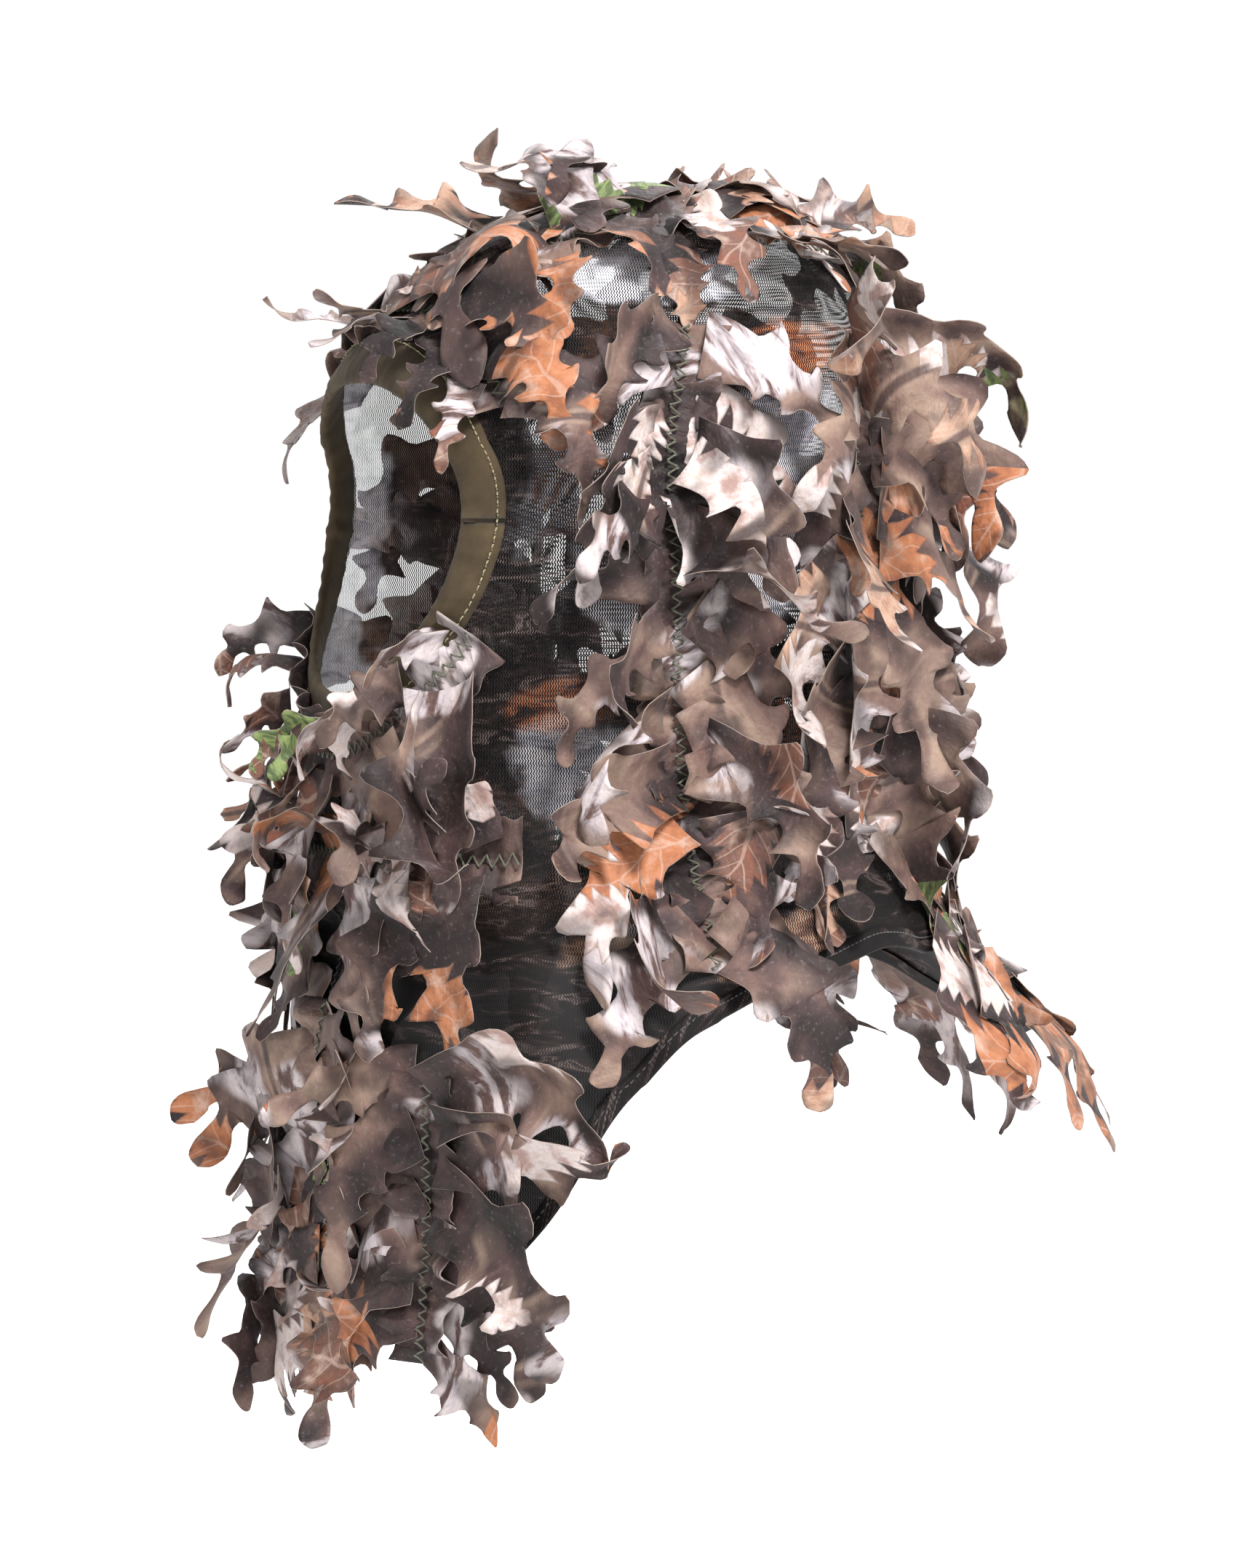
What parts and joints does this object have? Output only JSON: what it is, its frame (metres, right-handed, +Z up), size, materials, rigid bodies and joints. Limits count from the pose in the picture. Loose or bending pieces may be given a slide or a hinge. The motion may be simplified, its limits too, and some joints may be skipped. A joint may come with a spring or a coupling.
{
  "type": "camouflage face mask",
  "caption": "Leaf-cut camouflage hood of see-through mesh with a bound face opening, a chest bib and a nape flap, shaped to a head.",
  "frame": {"origin": "inside of the crown on the hood's vertical axis, where the hood sits on the wearer's head", "axes": "+Z up, the face looks along -Y, the wearer's left is +X"},
  "size_m": [0.2724, 0.3119, 0.4528],
  "materials": {
    "camo_mesh": "printed warp-knit mesh, see-through",
    "leaf_fabric": "printed brushed polyester, mild sheen",
    "olive_binding": "brushed jersey binding",
    "mesh_hem": "folded and stitched mesh",
    "thread": "spun polyester thread"
  },
  "bodies": {
    "hood": {"binding_stitching": "thread", "crown_seam": "camo_mesh", "face_binding": "olive_binding", "hood_mesh_left": "camo_mesh", "hood_mesh_right": "camo_mesh", "leaf_tape_back_centre": "leaf_fabric", "leaf_tape_brow": "leaf_fabric", "leaf_tape_chin": "leaf_fabric", "leaf_tape_crown_centre": "leaf_fabric", "leaf_tape_crown_left": "leaf_fabric", "leaf_tape_crown_right": "leaf_fabric", "leaf_tape_rear_left": "leaf_fabric", "leaf_tape_rear_right": "leaf_fabric", "leaf_tape_side_left": "leaf_fabric", "leaf_tape_side_right": "leaf_fabric", "leaf_tape_throat": "leaf_fabric", "shoulder_hem_left": "mesh_hem", "shoulder_hem_right": "mesh_hem", "tape_thread_back_centre": "thread", "tape_thread_brow": "thread", "tape_thread_chin": "thread", "tape_thread_crown_centre": "thread", "tape_thread_crown_left": "thread", "tape_thread_crown_right": "thread", "tape_thread_rear_left": "thread", "tape_thread_rear_right": "thread", "tape_thread_side_left": "thread", "tape_thread_side_right": "thread", "tape_thread_throat": "thread"},
    "bib": {"bib_hem": "mesh_hem", "bib_mesh_left": "camo_mesh", "bib_mesh_right": "camo_mesh", "bib_seam": "camo_mesh", "leaf_tape_bib_centre": "leaf_fabric", "leaf_tape_bib_left": "leaf_fabric", "leaf_tape_bib_right": "leaf_fabric", "tape_thread_bib_centre": "thread", "tape_thread_bib_left": "thread", "tape_thread_bib_right": "thread"},
    "nape_flap": {"leaf_tape_nape_left": "leaf_fabric", "leaf_tape_nape_right": "leaf_fabric", "nape_hem": "mesh_hem", "nape_mesh_left": "camo_mesh", "nape_mesh_right": "camo_mesh", "nape_seam": "camo_mesh", "tape_thread_nape_left": "thread", "tape_thread_nape_right": "thread"}
  },
  "joints": [
    {"name": "bib_lift", "type": "hinge", "parent": "hood", "child": "bib", "pos_m": [0, -0.1012, -0.271], "axis": [-1, 0, 0], "range_deg": [0, 60]},
    {"name": "nape_lift", "type": "hinge", "parent": "hood", "child": "nape_flap", "pos_m": [0, 0.118, -0.24], "axis": [1, 0, 0], "range_deg": [0, 50]}
  ]
}
